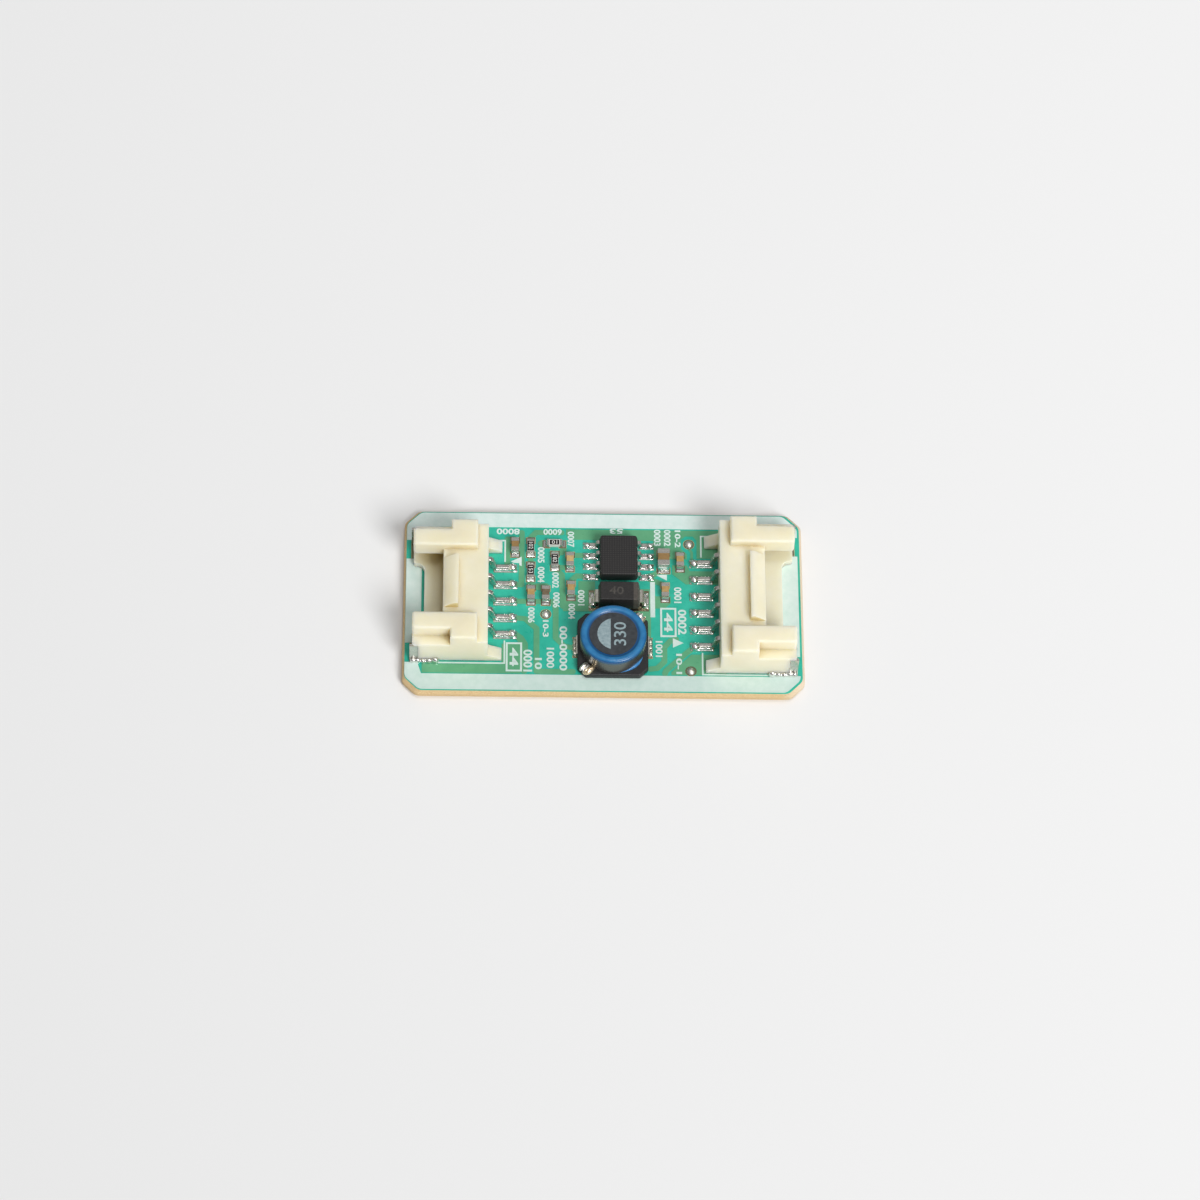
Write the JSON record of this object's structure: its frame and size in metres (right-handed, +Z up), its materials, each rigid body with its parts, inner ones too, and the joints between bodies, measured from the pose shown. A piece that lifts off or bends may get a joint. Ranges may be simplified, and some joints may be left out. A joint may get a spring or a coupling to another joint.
{
  "type": "sub circuit board",
  "caption": "Small green single-sided control board with a side-entry wire header at each end, a regulator chip, a moulded diode, a shielded inductor and chip parts.",
  "frame": {"origin": "centre of the board on its underside", "axes": "+X along the board towards the larger header, +Y across the board, +Z up from the component side"},
  "size_m": [0.042, 0.022, 0.0062],
  "materials": {
    "laminate": "satin resin laminate with a broken edge",
    "copper": "tinned or bare copper foil",
    "mask": "glossy green film",
    "ink": "matte white ink",
    "housing": "satin moulded nylon, cream",
    "tin": "bright tin plate",
    "solder": "bright reflowed solder",
    "mould_black": "matte black moulding",
    "ferrite": "ground grey ferrite",
    "core": "dark ferrite, printed",
    "blue_coat": "glossy blue coat",
    "glue": "light blue set glue",
    "winding": "enamelled copper wire",
    "tan_ceramic": "fired tan ceramic",
    "white_ceramic": "white alumina",
    "black_coat": "black glass coat"
  },
  "bodies": {
    "root": {"board_laminate": "laminate", "capacitor_1_block": "tan_ceramic", "capacitor_1_ends": "tin", "capacitor_2_block": "tan_ceramic", "capacitor_2_ends": "tin", "capacitor_3_block": "tan_ceramic", "capacitor_3_ends": "tin", "capacitor_4_block": "tan_ceramic", "capacitor_4_ends": "tin", "capacitor_5_block": "tan_ceramic", "capacitor_5_ends": "tin", "capacitor_6_block": "tan_ceramic", "capacitor_6_ends": "tin", "capacitor_7_block": "tan_ceramic", "capacitor_7_ends": "tin", "capacitor_8_block": "tan_ceramic", "capacitor_8_ends": "tin", "chip_part_solder": "solder", "copper_tracks": "copper", "diode_body": "mould_black", "diode_solder": "solder", "diode_terminals": "tin", "inductor_base": "mould_black", "inductor_drum_core": "core", "inductor_glue": "glue", "inductor_rim_coat": "blue_coat", "inductor_shield_ring": "ferrite", "inductor_solder": "solder", "inductor_terminals": "tin", "inductor_winding": "winding", "inductor_wire_ends": "solder", "left_header_housing": "housing", "left_header_nail_solder": "solder", "left_header_nails": "tin", "left_header_pin_solder": "solder", "left_header_pins": "tin", "regulator_body": "mould_black", "regulator_leads": "tin", "regulator_solder": "solder", "resistor_1_ceramic": "white_ceramic", "resistor_1_coat": "black_coat", "resistor_1_ends": "tin", "resistor_2_ceramic": "white_ceramic", "resistor_2_coat": "black_coat", "resistor_2_ends": "tin", "resistor_3_ceramic": "white_ceramic", "resistor_3_coat": "black_coat", "resistor_3_ends": "tin", "resistor_4_ceramic": "white_ceramic", "resistor_4_coat": "black_coat", "resistor_4_ends": "tin", "right_header_housing": "housing", "right_header_nail_solder": "solder", "right_header_nails": "tin", "right_header_pin_solder": "solder", "right_header_pins": "tin", "silkscreen_print": "ink", "solder_mask": "mask", "test_point_solder": "solder"}
  },
  "joints": []
}
